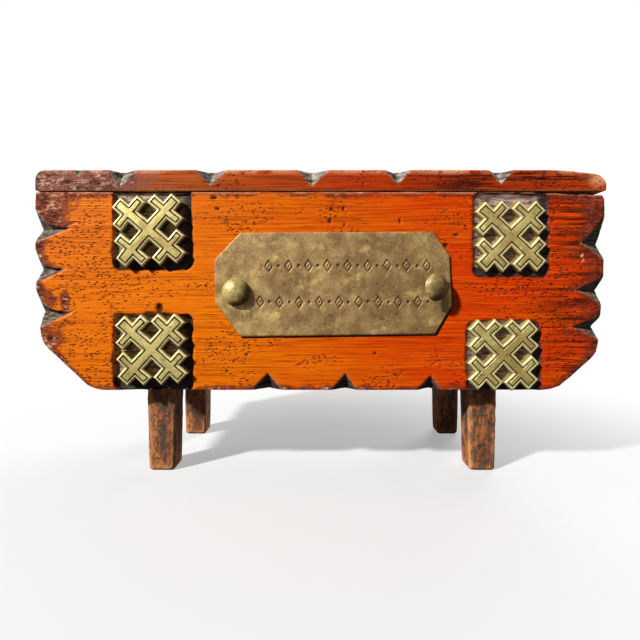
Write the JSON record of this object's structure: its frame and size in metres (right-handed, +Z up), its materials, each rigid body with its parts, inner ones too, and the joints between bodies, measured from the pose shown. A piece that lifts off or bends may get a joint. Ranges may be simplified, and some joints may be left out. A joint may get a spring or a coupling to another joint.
{
  "type": "money box",
  "caption": "Carved wooden money box on four tapered legs, with pierced brass ornaments, a brass plate, and a hinged lid with a coin slot.",
  "frame": {"origin": "on the table, under the middle of the box", "axes": "+X to the right as seen from the front, the front faces -Y, +Z up"},
  "size_m": [0.2267, 0.0855, 0.1224],
  "materials": {
    "front_wood": "glossy orange varnish",
    "case_wood": "worn orange-brown varnish",
    "lid_wood": "worn red-brown varnish",
    "leg_wood": "weathered, with traces of paint",
    "bare_wood": "bare",
    "ornament_brass": "cast, worn",
    "plate_brass": "tarnished sheet",
    "nail_brass": "rubbed bright",
    "hinge_brass": "tarnished",
    "brad_iron": "dark, slightly rusted"
  },
  "bodies": {
    "case": {"front_board": "front_wood", "back_board": "case_wood", "left_end_board": "case_wood", "right_end_board": "case_wood", "bottom_board": "bare_wood", "front_left_leg": "leg_wood", "front_right_leg": "leg_wood", "rear_left_leg": "leg_wood", "rear_right_leg": "leg_wood", "leg_wedges": "bare_wood", "ornament_upper_left": "ornament_brass", "ornament_lower_left": "ornament_brass", "ornament_upper_right": "ornament_brass", "ornament_lower_right": "ornament_brass", "name_plate": "plate_brass", "name_plate_nail_left": "nail_brass", "name_plate_nail_right": "nail_brass", "left_hinge_body_leaf": "hinge_brass", "left_hinge_pin": "hinge_brass", "right_hinge_body_leaf": "hinge_brass", "right_hinge_pin": "hinge_brass", "hinge_screws_body": "hinge_brass", "front_board_brads": "brad_iron", "back_board_brads": "brad_iron"},
    "lid": {"lid_board": "lid_wood", "left_hinge_lid_leaf": "hinge_brass", "right_hinge_lid_leaf": "hinge_brass", "hinge_screws_lid": "hinge_brass"}
  },
  "joints": [
    {"name": "lid_hinge", "type": "hinge", "parent": "case", "child": "lid", "pos_m": [0, 0.04122, 0.1138], "axis": [-1, 0, 0], "range_deg": [0, 195]}
  ]
}
